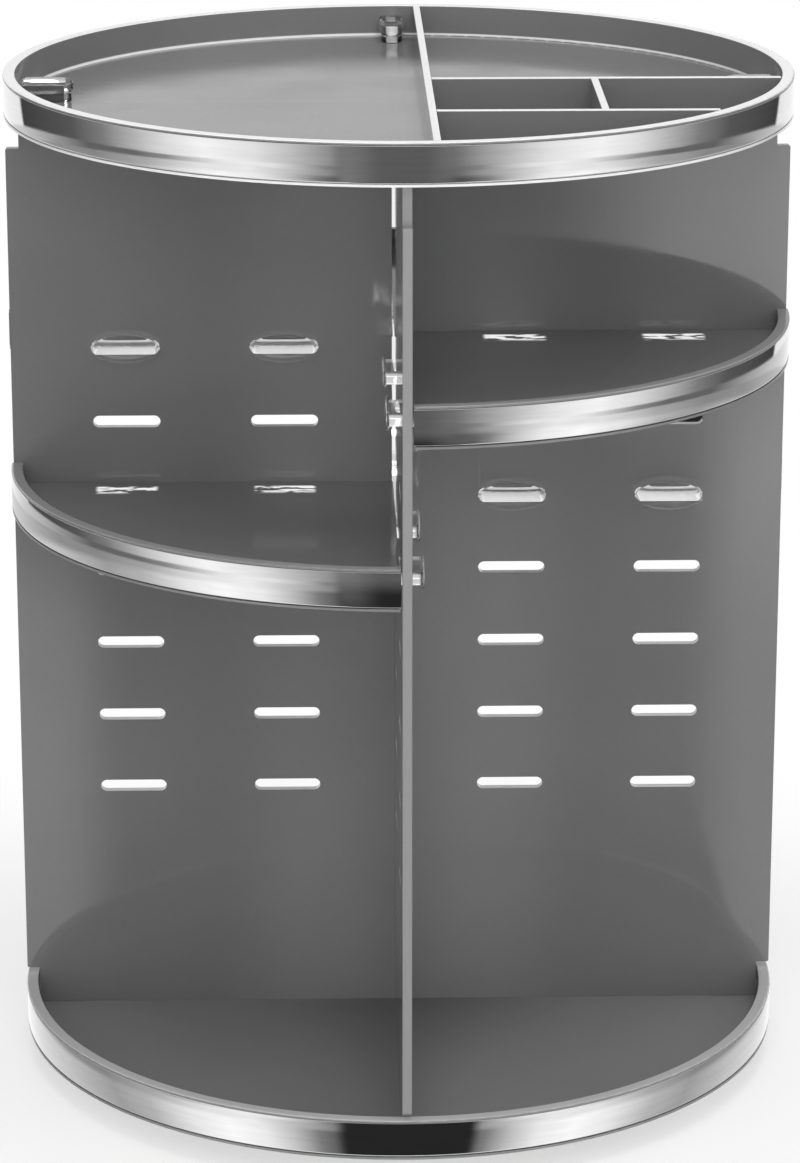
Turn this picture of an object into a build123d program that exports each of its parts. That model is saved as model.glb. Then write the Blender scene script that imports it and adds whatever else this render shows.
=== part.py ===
from build123d import *
import os
from math import sqrt

# A round rotating cosmetics organiser. Two slotted panels cross at right angles on a
# round base tray and carry a round top tray. Four quarter shelves rest on clips in the
# panels' slots. The whole stands on a flat ball-bearing turntable.
# Millimetres. The axis of rotation is Z, the table is at z = 0, the front is -Y.

# Rim and floor shared by the base tray, the top tray and the shelves
outer_radius = 115.0
rim_height = 12.0
rim_wall = 3.5
floor_thick = 2.6
floor_round = 0.8
lip_round = 0.4

# Silver band let into the outside of every rim
band_thick = 0.8
band_lip = 0.7
band_fit = 0.1

# Crossed panels
panel_height = 279.8
panel_thick = 2.8
notch_height = 11.3
neck_clear = 0.4
corner_round = 0.6
lap_clear = 0.6
lap_seat = 0.2

# Slots in both panels
slot_length = 20.0
slot_height = 3.6
slot_rows = 7
row_pitch = 23.0
slot_columns = 2
column_first = 34.0
column_pitch = 47.0

# Clips that carry the shelves
tongue_clear = 0.15
tongue_reach = 15.0
head_end_cover = 0.3
head_side_cover = 2.5
head_root = 0.4
head_depth = 4.3
# Shares of the head's depth at which its oval section is set
dome_shares = (0.0, 0.4, 0.7, 0.9, 0.98)

# Quarter shelves
shelf_skirt = 3.0
shelf_overhang = 0.5
shelf_gap = 0.3
shelf_corner = 0.9
lower_row = 5
upper_row = 7

# Tabs on the panels and the locks pushed over them on the top tray
tab_length = 12.0
tab_margin = 1.5
tab_rise = 4.6
tab_fit = 0.3
base_tab_short = 0.4
lock_fit = 0.2
lock_wall = 2.4
lock_nose = 3.0
lock_taper = 6.5
lock_cap = 1.8
lock_step_height = 2.3
lock_step_inset = 0.7
lock_round = 2.0

# Dividers of the top tray
divider_thick = 2.2
divider_fit = 0.2
divider_round = 0.4
main_divider_x = 8.0
cross_divider_y = -17.6
front_divider_y = -67.6
short_divider_x = 56.0

# Turntable
pad_stand = 1.5
pad_inset = 0.8
pad_radius = 6.0
pad_count = 6
pad_margin = 12.0
pad_fit = 0.1
pad_round = 0.4
foot_thick = 2.4
plate_gap = 2.0
plate_thick = 2.1
plate_margin = 20.0
edge_round = 0.5
race_radius = 60.0
ball_radius = 1.6
ball_clear = 0.1
ball_count = 24
cage_thick = 0.9
cage_width = 7.0
cage_fit = 0.15

# Centre pivot
pin_radius = 4.0
pin_clear = 0.05
flange_radius = 8.0
flange_thick = 1.0
hub_radius = 11.0
hub_clear = 0.3
washer_radius = 8.5
washer_thick = 0.6
washer_clear = 0.1
washer_side_clear = 0.5
washer_depth = 1.4

# Screws
screw_radius = 1.5
screw_fit = 0.1
pivot_head_radius = 3.2
pivot_head_height = 1.1
pivot_screw_depth = 3.6
plate_screw_length = 4.0
plate_head_radius = 3.0
plate_head_height = 1.4
plate_screw_count = 4
plate_screw_circle = 30.0
recess_width = 0.8
recess_depth = 0.6

# Heights that follow from the sizes above
foot_z = pad_stand
foot_top_z = foot_z + foot_thick
plate_z = foot_top_z + plate_gap
ball_z = foot_top_z + plate_gap / 2
base_z = plate_z + plate_thick
base_floor_z = base_z + floor_thick
panel_mid_z = base_floor_z + panel_height / 2
top_z = base_floor_z + panel_height
top_floor_z = top_z + floor_thick

# Radii that follow from the sizes above
inner_radius = outer_radius - rim_wall
neck_half = inner_radius - neck_clear
shelf_radius = outer_radius + shelf_overhang
foot_radius = race_radius + plate_margin
tab_centre = neck_half - tab_margin - tab_length / 2
band_height = rim_height - 2 * band_lip
foot_relief = floor_round + divider_fit

ON_FLOOR = (Align.CENTER, Align.CENTER, Align.MIN)


def disc(radius, height, z):
    """A round plate with its underside at height z."""
    return Pos(0, 0, z) * Cylinder(radius, height, align=ON_FLOOR)


def ring(outside, inside, height, z):
    """A flat ring with its underside at height z."""
    return disc(outside, height, z) - disc(inside, height, z)


def around(shape, count, radius=0.0):
    """Copies of a shape, pushed out along X and spread evenly round the axis."""
    return [Rot(0, 0, 360 / count * turn) * Pos(radius, 0, 0) * shape for turn in range(count)]


def cut_all(body, tools):
    """The body with every tool taken out of it."""
    for tool in tools:
        body = body - tool
    return body


def row_z(row):
    """Height of the middle of a row of slots, counted from 1 at the bottom."""
    return panel_mid_z + (row - (slot_rows + 1) / 2) * row_pitch


def column_offsets():
    """Distances of the slots from the axis, on one side of it."""
    return [column_first + column_pitch * column for column in range(slot_columns)]


# ---------------------------------------------------------------- trays and bands

def tray_blank(radius, skirt, z):
    """Floor and grooved rim in one piece; the rim reaches down past the floor by the skirt."""
    wall = radius - rim_wall
    floor = disc(wall + rim_wall / 2, floor_thick, z + skirt)
    rim = ring(radius, wall, rim_height, z)
    groove = ring(radius + band_fit, radius - band_thick - band_fit, band_height, z + band_lip)
    tray = floor + rim - groove
    lip = tray.edges().filter_by(GeomType.CIRCLE).group_by(Axis.Z)[-1]
    tray = fillet(lip, lip_round)
    corner = [edge for edge in tray.edges().filter_by(GeomType.CIRCLE)
              if abs(edge.center().Z - z - skirt - floor_thick) < lip_round
              and abs(edge.radius - wall) < lip_round]
    return fillet(corner, floor_round)


def band(radius, z):
    """Thin silver band that fills the groove of a rim, flush with its lips."""
    height = band_height - 2 * band_fit
    return ring(radius, radius - band_thick, height, z + band_lip + band_fit)


def tab_slots(z):
    """Four slots through a tray floor for the tabs of the panels."""
    length = tab_length + 2 * tab_fit
    width = panel_thick + 2 * tab_fit
    return around(Pos(0, 0, z) * Box(length, width, floor_thick, align=ON_FLOOR), 4, tab_centre)


def base_tray():
    """Round bottom tray; blind holes in its underside take the turntable's screws."""
    tray = cut_all(tray_blank(outer_radius, 0, base_z), tab_slots(base_z))
    depth = plate_screw_length - plate_thick + screw_fit
    pilots = around(disc(screw_radius + screw_fit, depth, base_z), plate_screw_count,
                    plate_screw_circle)
    return cut_all(tray, pilots)


def top_tray():
    """Round top tray, which sits on the panels' top edges with their tabs through its floor."""
    return cut_all(tray_blank(outer_radius, 0, top_z), tab_slots(top_z))


# ---------------------------------------------------------------- crossed panels

def panel_outline(lap_side):
    """Outline of a panel about its middle; lap_side is 1 for a lap cut down from the top."""
    wing_height = panel_height - 2 * notch_height
    outline = RectangleRounded(2 * outer_radius, wing_height, corner_round)
    outline += RectangleRounded(2 * neck_half, panel_height, corner_round)
    top_tab = floor_thick + tab_rise
    base_tab = floor_thick - base_tab_short
    for side in (-1, 1):
        up = Rectangle(tab_length, top_tab + floor_thick)
        down = Rectangle(tab_length, base_tab + floor_thick)
        edge = panel_height / 2
        outline += Pos(side * tab_centre, edge + (top_tab - floor_thick) / 2) * up
        outline += Pos(side * tab_centre, -edge - (base_tab - floor_thick) / 2) * down
    lap_length = (panel_height + lap_seat) / 2
    lap = Rectangle(panel_thick + 2 * lap_clear, lap_length)
    outline -= Pos(0, lap_side * (panel_height - lap_length) / 2) * lap
    for row in range(1, slot_rows + 1):
        for offset in column_offsets():
            for side in (-1, 1):
                place = Pos(side * offset, row_z(row) - panel_mid_z)
                outline -= place * SlotOverall(slot_length, slot_height)
    return outline


def cross_panel():
    """Panel across the front view, cut from the top to its middle for the other panel."""
    plate = extrude(Plane.XZ * panel_outline(1), panel_thick / 2, both=True)
    return Pos(0, 0, panel_mid_z) * plate


def fore_aft_panel():
    """Panel from front to back, cut from the bottom to its middle."""
    plate = extrude(Plane.YZ * panel_outline(-1), panel_thick / 2, both=True)
    return Pos(0, 0, panel_mid_z) * plate


def lock_plan(inset):
    """Plan of a panel lock with an oval nose towards the axis."""
    width = panel_thick + 2 * (lock_fit + lock_wall) - 2 * inset
    nose = tab_centre - tab_length / 2 - lock_nose + lock_taper
    end = inner_radius - foot_relief
    body = Pos((nose + end) / 2, 0) * Rectangle(end - nose, width)
    return body + Pos(nose, 0) * Ellipse(lock_taper - inset, width / 2)


def panel_lock():
    """Round-edged cap pushed over a panel's tab, stepped in at its foot for a fingernail."""
    height = tab_rise + lock_fit + lock_cap
    cap = extrude(lock_plan(0), height - lock_step_height)
    levels = cap.edges().group_by(Axis.Z)
    cap = fillet(levels[0] + levels[-1], lock_round)
    foot = extrude(lock_plan(lock_step_inset), lock_step_height)
    hollow = Box(tab_length + 2 * lock_fit, panel_thick + 2 * lock_fit, tab_rise + lock_fit,
                 align=ON_FLOOR)
    lock = foot + Pos(0, 0, lock_step_height) * cap - Pos(tab_centre, 0, 0) * hollow
    return Pos(0, 0, top_floor_z) * lock


def panel_locks():
    """Four locks, one over the tab at each panel end."""
    return Compound(children=around(panel_lock(), 4))


# ---------------------------------------------------------------- shelves and clips

def shelf_plan():
    """Plan of the rear right quarter shelf, clear of both panels."""
    start = panel_thick / 2 + shelf_gap
    square = Pos(start + shelf_radius / 2, start + shelf_radius / 2)
    sector = Circle(shelf_radius) & square * Rectangle(shelf_radius, shelf_radius)
    return fillet(sector.vertices(), shelf_corner)


def shelf_z(row):
    """Height of a shelf's rim bottom when its floor rests on the clips of a row."""
    return row_z(row) + slot_height / 2 - tongue_clear - shelf_skirt


def quarter(body, row, turn):
    """The part of a round tray or band that belongs to one quarter."""
    prism = Pos(0, 0, shelf_z(row)) * extrude(shelf_plan(), rim_height)
    return Rot(0, 0, turn) * (body & prism)


def shelf(row, turn):
    """Quarter shelf with a rim along its arc only."""
    return quarter(tray_blank(shelf_radius, shelf_skirt, shelf_z(row)), row, turn)


def shelf_band(row, turn):
    """Silver band along the arc of a quarter shelf."""
    return quarter(band(shelf_radius, shelf_z(row)), row, turn)


def clip():
    """Clip through a slot at the origin: its tongue points to +Y and its domed head lies behind."""
    section = SlotOverall(slot_length - 2 * tongue_clear, slot_height - 2 * tongue_clear)
    reach = head_root + panel_thick + tongue_reach
    tongue = Pos(0, panel_thick / 2 + tongue_reach, 0) * extrude(Plane.XZ * section, reach)
    half_length = slot_length / 2 + head_end_cover
    half_height = slot_height / 2 + head_side_cover
    slices = []
    for share in dome_shares:
        width = sqrt(1 - share ** 2)
        oval = Plane.XZ * Ellipse(half_length * width, half_height * width)
        slices.append(Pos(0, -panel_thick / 2 - share * head_depth, 0) * oval)
    return tongue + loft(slices)


def shelf_clips(row, turn):
    """Four clips under one shelf, two through each panel."""
    places = []
    for offset in column_offsets():
        places.append(Pos(offset, 0, row_z(row)) * clip())
        places.append(Pos(0, offset, row_z(row)) * Rot(0, 0, -90) * clip())
    return Compound(children=[Rot(0, 0, turn) * place for place in places])


# ---------------------------------------------------------------- dividers

def chord_end(offset):
    """Distance from the middle of a chord to the rim, for a divider that far off the axis."""
    return sqrt(inner_radius ** 2 - (abs(offset) + divider_thick / 2) ** 2) - divider_fit


def divider(x_low, x_high, y_low, y_high):
    """Upright strip on the top tray's floor, as high as the rim, notched over the floor round."""
    size_x = x_high - x_low
    size_y = y_high - y_low
    strip = Box(size_x, size_y, rim_height - floor_thick, align=(Align.MIN, Align.MIN, Align.MIN))
    long_axis = Axis.X if size_x > size_y else Axis.Y
    crest = strip.edges().filter_by(long_axis).group_by(Axis.Z)[-1]
    strip = Pos(x_low, y_low, top_floor_z) * fillet(crest, divider_round)
    return strip - ring(outer_radius, inner_radius - foot_relief, foot_relief, top_floor_z)


def main_divider():
    """Divider from front to back across the whole tray."""
    half = divider_thick / 2
    end = chord_end(main_divider_x)
    return divider(main_divider_x - half, main_divider_x + half, -end, end)


def side_divider(y):
    """Divider from the main one to the right-hand rim."""
    half = divider_thick / 2
    return divider(main_divider_x + half, chord_end(y), y - half, y + half)


def short_divider():
    """Divider between the two side dividers."""
    half = divider_thick / 2
    return divider(short_divider_x - half, short_divider_x + half,
                   front_divider_y + half, cross_divider_y - half)


# ---------------------------------------------------------------- turntable

def ball_track():
    """Ring of round section that cuts the track for the balls into both plates."""
    return Pos(0, 0, ball_z) * Torus(race_radius, ball_radius + ball_clear)


def round_plate(thickness, z):
    """Round plate of the turntable with eased edges."""
    plate = disc(foot_radius, thickness, z)
    return fillet(plate.edges().filter_by(GeomType.CIRCLE), edge_round)


def foot_plate():
    """Fixed lower plate with the hub that the pivot pin turns in."""
    hub = disc(hub_radius, plate_gap - hub_clear, foot_top_z)
    bore = disc(pin_radius + pin_clear, foot_thick + plate_gap, foot_z)
    well = disc(washer_radius + washer_side_clear, washer_depth, foot_z)
    pockets = around(disc(pad_radius + pad_fit, pad_inset, foot_z), pad_count,
                     foot_radius - pad_margin)
    plate = round_plate(foot_thick, foot_z) + hub
    return cut_all(plate, [ball_track(), bore, well] + pockets)


def rubber_feet():
    """Round rubber pads let into the underside of the foot plate."""
    pad = disc(pad_radius, pad_stand + pad_inset, 0)
    pad = fillet(pad.edges().group_by(Axis.Z)[0], pad_round)
    return Compound(children=around(pad, pad_count, foot_radius - pad_margin))


def bearing_balls():
    """Steel balls between the two plates."""
    return Compound(children=around(Pos(0, 0, ball_z) * Sphere(ball_radius), ball_count,
                                    race_radius))


def ball_cage():
    """Flat ring with a hole round each ball."""
    low = ball_z - cage_thick / 2
    cage = ring(race_radius + cage_width / 2, race_radius - cage_width / 2, cage_thick, low)
    holes = around(disc(ball_radius + cage_fit, cage_thick, low), ball_count, race_radius)
    return cut_all(cage, holes)


def turntable_plate():
    """Turning upper plate, screwed to the base tray's underside."""
    bore = disc(pin_radius + pin_clear, plate_thick, plate_z)
    seat = disc(flange_radius + pin_clear, flange_thick, base_z - flange_thick)
    screws = around(plate_screw(screw_fit), plate_screw_count, plate_screw_circle)
    return cut_all(round_plate(plate_thick, plate_z), [ball_track(), bore, seat] + screws)


def pivot_pin():
    """Flanged pin fixed in the turning plate; it turns in the foot plate's hub."""
    low = foot_z + washer_depth - washer_clear
    shaft = disc(pin_radius, base_z - low, low)
    flange = disc(flange_radius, flange_thick, base_z - flange_thick)
    thread = disc(screw_radius + screw_fit, pivot_screw_depth, low)
    return shaft + flange - thread


def retaining_washer():
    """Washer against the pin's lower end, just under the roof of the foot plate's well."""
    low = foot_z + washer_depth - washer_clear - washer_thick
    return ring(washer_radius, screw_radius + screw_fit, washer_thick, low)


def drive_recess(z):
    """Cross-shaped recess in a screw's head, cut up from height z."""
    bar = Box(recess_width, 3 * recess_width, recess_depth, align=ON_FLOOR)
    return Pos(0, 0, z) * (bar + Rot(0, 0, 90) * bar)


def pivot_screw():
    """Screw that holds the washer to the pin."""
    head_top = foot_z + washer_depth - washer_clear - washer_thick
    head = disc(pivot_head_radius, pivot_head_height, head_top - pivot_head_height)
    head = fillet(head.edges().group_by(Axis.Z)[0], pad_round)
    shank = disc(screw_radius, washer_thick + pivot_screw_depth - screw_fit, head_top)
    return head + shank - drive_recess(head_top - pivot_head_height)


def plate_screw(extra):
    """Countersunk screw on the axis, pointing up; extra widens it into its own hole."""
    head = Pos(0, 0, plate_z) * Cone(plate_head_radius + extra, screw_radius + extra,
                                     plate_head_height, align=ON_FLOOR)
    return head + disc(screw_radius + extra, plate_screw_length, plate_z)


def plate_screws():
    """Countersunk screws from the turning plate up into the base tray."""
    screw = plate_screw(0) - drive_recess(plate_z)
    return Compound(children=around(screw, plate_screw_count, plate_screw_circle))


# ---------------------------------------------------------------- assembly

# name of the quarter, row that carries its shelf, turn from the rear right quarter
quarters = [
    ("rear_right", lower_row, 0),
    ("rear_left", upper_row, 90),
    ("front_left", lower_row, 180),
    ("front_right", upper_row, 270),
]

nodes = {
    "foot_plate": foot_plate(),
    "rubber_feet": rubber_feet(),
    "ball_cage": ball_cage(),
    "bearing_balls": bearing_balls(),
    "turntable_plate": turntable_plate(),
    "pivot_pin": pivot_pin(),
    "retaining_washer": retaining_washer(),
    "pivot_screw": pivot_screw(),
    "plate_screws": plate_screws(),
    "base_tray": base_tray(),
    "base_band": band(outer_radius, base_z),
    "cross_panel": cross_panel(),
    "fore_aft_panel": fore_aft_panel(),
    "top_tray": top_tray(),
    "top_band": band(outer_radius, top_z),
    "panel_locks": panel_locks(),
    "main_divider": main_divider(),
    "cross_divider": side_divider(cross_divider_y),
    "front_divider": side_divider(front_divider_y),
    "short_divider": short_divider(),
}
for name, row, turn in quarters:
    nodes[name + "_shelf"] = shelf(row, turn)
    nodes[name + "_shelf_band"] = shelf_band(row, turn)
    nodes[name + "_clips"] = shelf_clips(row, turn)

os.makedirs("parts", exist_ok=True)
for name, solid in nodes.items():
    export_step(solid, "parts/" + name + ".step")
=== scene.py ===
"""Looks of a round turning cosmetics organiser: smoke-grey acrylic with silver bands.

Metres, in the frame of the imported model: Z is the axis of rotation, the table is at z = 0
and the front is -Y.
"""

import logging
import math
from collections.abc import Sequence
from dataclasses import dataclass, field
from enum import Enum
from typing import Any

import bmesh
import bpy
from mathutils import Matrix, Vector


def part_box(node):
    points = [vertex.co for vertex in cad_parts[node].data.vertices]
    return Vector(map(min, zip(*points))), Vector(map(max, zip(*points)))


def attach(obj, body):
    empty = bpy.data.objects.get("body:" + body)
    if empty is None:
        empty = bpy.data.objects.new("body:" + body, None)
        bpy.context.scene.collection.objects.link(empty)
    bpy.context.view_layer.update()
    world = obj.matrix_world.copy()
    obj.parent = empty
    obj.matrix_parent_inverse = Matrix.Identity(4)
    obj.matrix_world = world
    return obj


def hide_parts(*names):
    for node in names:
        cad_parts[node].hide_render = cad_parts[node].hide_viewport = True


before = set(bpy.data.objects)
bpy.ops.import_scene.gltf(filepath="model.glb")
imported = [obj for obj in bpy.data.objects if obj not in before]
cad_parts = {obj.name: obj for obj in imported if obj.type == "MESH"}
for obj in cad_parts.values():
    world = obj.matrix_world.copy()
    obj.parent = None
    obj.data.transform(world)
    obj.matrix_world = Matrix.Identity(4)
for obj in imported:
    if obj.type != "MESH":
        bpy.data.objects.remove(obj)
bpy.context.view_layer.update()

MM = 0.001
ORIGIN = Vector((0, 0, 0))
UP = Vector((0, 0, 1))
WHITE = (1.0, 1.0, 1.0, 1.0)
HALF_TURN = 180.0
Grey = float

# the columns of slots lie this far off the axis, on both sides of it
SLOT_OFFSETS = (34.0 * MM, 81.0 * MM)
PANEL_THICK = 2.8 * MM
ACRYLIC_INDEX = 1.49
# shape of a bevel that is an arc
ROUND_PROFILE = 0.5
# values of the raw noise that are spread from 0 to 1
NOISE_RANGE = (0.3, 0.7)
# depths under a level at which a face counts as below it and as on it
LEVEL_EASE = (0.3 * MM, 0.1 * MM)

logging.basicConfig(level=logging.INFO, format="%(message)s")
log = logging.getLogger("organiser")


# ------------------------------------------------------------------ shader graphs

class Signal:
    """A number that varies over a surface; arithmetic on it adds Math nodes."""

    def __init__(self, graph: "Graph", socket: bpy.types.NodeSocket) -> None:
        """Keeps the graph and the socket that the number comes from."""
        self.graph = graph
        self.socket = socket

    def math(self, operation: str, *values: "Signal | float") -> "Signal":
        """Adds one Math node.

        Args:
            operation: the operation's name.
            values: its inputs in order, numbers or signals.

        Returns:
            The node's result.
        """
        return self.graph.signal("ShaderNodeMath", {"operation": operation},
                                 dict(enumerate(values)))

    def __add__(self, other: "Signal | float") -> "Signal":
        """Sum."""
        return self.math("ADD", self, other)

    def __radd__(self, other: float) -> "Signal":
        """Sum with the number first."""
        return self.math("ADD", other, self)

    def __sub__(self, other: "Signal | float") -> "Signal":
        """Difference."""
        return self.math("SUBTRACT", self, other)

    def __rsub__(self, other: float) -> "Signal":
        """Difference with the number first."""
        return self.math("SUBTRACT", other, self)

    def __mul__(self, other: "Signal | float") -> "Signal":
        """Product."""
        return self.math("MULTIPLY", self, other)

    def __rmul__(self, other: float) -> "Signal":
        """Product with the number first."""
        return self.math("MULTIPLY", other, self)

    def __truediv__(self, other: "Signal | float") -> "Signal":
        """Quotient."""
        return self.math("DIVIDE", self, other)

    def __abs__(self) -> "Signal":
        """Size without sign."""
        return self.math("ABSOLUTE", self)

    def root(self) -> "Signal":
        """Square root."""
        return self.math("SQRT", self)

    def step(self, low: float, high: float) -> "Signal":
        """Smooth rise from 0 to 1.

        Args:
            low: value at which it is 0.
            high: value at which it is 1; below low, the rise is a fall.

        Returns:
            A signal from 0 to 1.
        """
        rising = high > low
        inputs = {"Value": self, "From Min": min(low, high), "From Max": max(low, high),
                  "To Min": 0.0 if rising else 1.0, "To Max": 1.0 if rising else 0.0}
        return self.graph.signal("ShaderNodeMapRange", {"interpolation_type": "SMOOTHSTEP"},
                                 inputs)


def between(low: Signal | float, high: Signal | float, share: Signal | float) -> Signal:
    """Value that is low where the share is 0 and high where it is 1."""
    return low + (high - low) * share


class Graph:
    """The nodes of one material or of the world."""

    def __init__(self, tree: bpy.types.NodeTree) -> None:
        """Empties the tree and keeps it."""
        self.tree = tree
        tree.nodes.clear()

    def node(self, kind: str, settings: dict[str, Any] | None = None,
             inputs: dict[str | int, Any] | None = None) -> bpy.types.Node:
        """Adds one node.

        Args:
            kind: the node's type name.
            settings: its properties, set first; "stops" sets a colour ramp's stops.
            inputs: numbers, colours, sockets or signals for its inputs.

        Returns:
            The new node.
        """
        node = self.tree.nodes.new(kind)
        for name, value in (settings or {}).items():
            if name == "stops":
                self._set_stops(node.color_ramp, value)
            else:
                setattr(node, name, value)
        for name, value in (inputs or {}).items():
            value = value.socket if isinstance(value, Signal) else value
            if isinstance(value, bpy.types.NodeSocket):
                self.tree.links.new(value, node.inputs[name])
            else:
                node.inputs[name].default_value = value
        return node

    @staticmethod
    def _set_stops(ramp: bpy.types.ColorRamp, stops: Sequence[tuple[float, Grey]]) -> None:
        """Gives a ramp its stops.

        Args:
            ramp: the new node's ramp, which has two stops.
            stops: a place from 0 to 1 and a grey for each stop, in order.
        """
        while len(ramp.elements) < len(stops):
            ramp.elements.new(1.0)
        for element, (place, grey) in zip(ramp.elements, stops):
            element.position = place
            element.color = (grey, grey, grey, 1.0)

    def signal(self, kind: str, settings: dict[str, Any] | None = None,
               inputs: dict[str | int, Any] | None = None, output: str | int = 0) -> Signal:
        """One output of a new node as a signal."""
        return Signal(self, self.node(kind, settings, inputs).outputs[output])

    def noise(self, coordinates: bpy.types.NodeSocket, scale: float, detail: float = 3.0,
              stretch: tuple[float, float, float] = (1.0, 1.0, 1.0)) -> Signal:
        """Cloudy noise.

        Args:
            coordinates: the vector that the noise follows.
            scale: cycles a metre.
            detail: octaves.
            stretch: factors on the coordinates; a large one makes thin layers.

        Returns:
            A signal from 0 to 1 with a middle of 0.5.
        """
        mapped = self.node("ShaderNodeMapping", None, {"Vector": coordinates, "Scale": stretch})
        inputs = {"Vector": mapped.outputs[0], "Scale": scale, "Detail": detail}
        return self.signal("ShaderNodeTexNoise", None, inputs, "Fac").step(*NOISE_RANGE)

    def blend(self, factor: Signal, low: Any, high: Any) -> bpy.types.NodeSocket:
        """Colour between two.

        Args:
            factor: 0 for the first, 1 for the second.
            low: grey or colour socket.
            high: grey or colour socket.

        Returns:
            The mixed colour.
        """
        first, second = ((grey, grey, grey, 1.0) if isinstance(grey, float) else grey
                         for grey in (low, high))
        mix = self.node("ShaderNodeMix", {"data_type": "RGBA"}, {0: factor, 6: first, 7: second})
        return mix.outputs[2]


@dataclass(frozen=True)
class Place:
    """Object coordinates of a surface, whole and taken apart.

    Attributes:
        vector: all three of them.
        x: distance to the right of the axis.
        y: distance behind it.
        z: height above the table.
    """

    vector: bpy.types.NodeSocket
    x: Signal
    y: Signal
    z: Signal

    @classmethod
    def of(cls, graph: Graph) -> "Place":
        """Reads the object coordinates.

        Args:
            graph: the graph that they are read in.

        Returns:
            The coordinates.
        """
        vector = graph.node("ShaderNodeTexCoord").outputs["Object"]
        parts = graph.node("ShaderNodeSeparateXYZ", None, {0: vector})
        return cls(vector, *(Signal(graph, socket) for socket in parts.outputs))

    def radius(self) -> Signal:
        """Distance from the axis of rotation."""
        return (self.x * self.x + self.y * self.y).root()

    def above(self, level: float) -> Signal:
        """1 on faces at a level and higher, 0 on those a little lower."""
        lower, upper = LEVEL_EASE
        return self.z.step(level - lower, level - upper)

    @staticmethod
    def off_slot(along: Signal) -> Signal:
        """Distance along a panel from the middle of the nearest slot, from that off the axis."""
        inner, outer = SLOT_OFFSETS
        return abs(abs(along - (inner + outer) / 2) - (outer - inner) / 2)


def new_surface(name: str) -> tuple[bpy.types.Material, Graph, Place]:
    """Starts a material.

    Args:
        name: its name.

    Returns:
        The material, its empty graph and the object coordinates in it.
    """
    material = bpy.data.materials.new(name)
    material.use_nodes = True
    graph = Graph(material.node_tree)
    return material, graph, Place.of(graph)


# ------------------------------------------------------------------ finishes

@dataclass(frozen=True)
class Finish:
    """What every finish shares.

    Attributes:
        name: the material's name.
        roughness: lowest and highest roughness over the surface.
        wear_scale: cycles a metre of the noise that moves the roughness.
        wear_detail: octaves of that noise.
        bump_height: height of the fine waviness.
        bump_scale: cycles a metre of that waviness.
        bump_detail: octaves of it.
        stretch: factors on the coordinates of both noises.
    """

    name: str
    roughness: tuple[float, float] = (0.03, 0.08)
    wear_scale: float = 40.0
    wear_detail: float = 5.0
    bump_height: float = 0.004 * MM
    bump_scale: float = 30.0
    bump_detail: float = 2.0
    stretch: tuple[float, float, float] = (1.0, 1.0, 1.0)

    def base(self, graph: Graph, place: Place) -> bpy.types.NodeSocket:
        """Colour of the surface; each finish gives its own."""
        raise NotImplementedError

    def constants(self) -> dict[str, Any]:
        """Sockets of the shader that are the same all over."""
        return {}

    def glow(self, graph: Graph, place: Place) -> dict[str, Any]:
        """Sockets of the light that the surface gives off; most give none."""
        return {}

    def build(self) -> bpy.types.Material:
        """Makes the material.

        Returns:
            A material with one Principled shader.
        """
        material, graph, place = new_surface(self.name)
        wear = graph.noise(place.vector, self.wear_scale, self.wear_detail, self.stretch)
        wave = graph.noise(place.vector, self.bump_scale, self.bump_detail, self.stretch)
        bump = graph.node("ShaderNodeBump", None, {"Strength": 1.0, "Height": wave,
                                                   "Distance": self.bump_height})
        inputs = {"Base Color": self.base(graph, place),
                  "Roughness": between(*self.roughness, wear), "Normal": bump.outputs[0],
                  **self.constants(), **self.glow(graph, place)}
        shader = graph.node("ShaderNodeBsdfPrincipled", None, inputs)
        graph.node("ShaderNodeOutputMaterial", None, {"Surface": shader.outputs[0]})
        return material


@dataclass(frozen=True)
class PaintedLipLight:
    """Painted highlight on a moulded lip: a light grey on its upper face that stands in for the
    light falling there.

    Attributes:
        level: height of the lip's upper face.
        grey: its grey, the painted highlight; lighter on lips in full light, darker on shaded ones.
    """

    level: float
    grey: Grey

    def mask(self, place: Place) -> Signal:
        """1 on the lip's upper face."""
        return place.above(self.level)


@dataclass(frozen=True)
class PaintedCornerLight:
    """Painted highlight on the round between a tray's floor and its rim.

    Attributes:
        radius: inner radius of the rim.
        floor: height of the tray's floor.
        grey: grey of the painted highlight on the round.
        width: width at which the light begins, from the rim and the floor.
        wall_width: width at which it is full, from the rim.
        floor_width: width at which it is full, from the floor.
    """

    radius: float
    floor: float
    grey: Grey
    width: float = 0.8 * MM
    wall_width: float = 0.48 * MM
    floor_width: float = 0.56 * MM

    def mask(self, place: Place) -> Signal:
        """Finds the round.

        Args:
            place: the object coordinates.

        Returns:
            1 on the round, 0 elsewhere.
        """
        near_wall = place.radius().step(self.radius - self.width, self.radius - self.wall_width)
        return near_wall * place.z.step(self.floor + self.width, self.floor + self.floor_width)


class Across(Enum):
    """Axis on which a plate is thin."""

    X = "x"
    Y = "y"


@dataclass(frozen=True)
class PaintedEdgeLight:
    """Painted light and shade on the cut edges of a plate.

    Attributes:
        across: axis on which the plate is thin.
        half: half of its thickness.
        start: distance from the axis at which the lit edges start.
        end: distance at which they end.
        grey: their grey.
        soft: length over which the light comes in at either end.
        ease: depths under the plate's faces at which it begins and is full.
    """

    across: Across
    half: float
    start: float
    end: float
    # grey: their painted grey, light where the edges are lit and darker where they are shaded.
    grey: Grey
    soft: float = MM
    ease: tuple[float, float] = (0.05 * MM, 0.25 * MM)

    def mask(self, place: Place) -> Signal:
        """Finds the edges between the two distances.

        Args:
            place: the object coordinates.

        Returns:
            1 on those edges, 0 elsewhere.
        """
        thin = place.x if self.across is Across.X else place.y
        shallow, deep = self.ease
        reach = place.radius()
        started = reach.step(self.start - self.soft, self.start)
        return (abs(thin).step(self.half - shallow, self.half - deep) * started
                * reach.step(self.end, self.end - self.soft))


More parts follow.
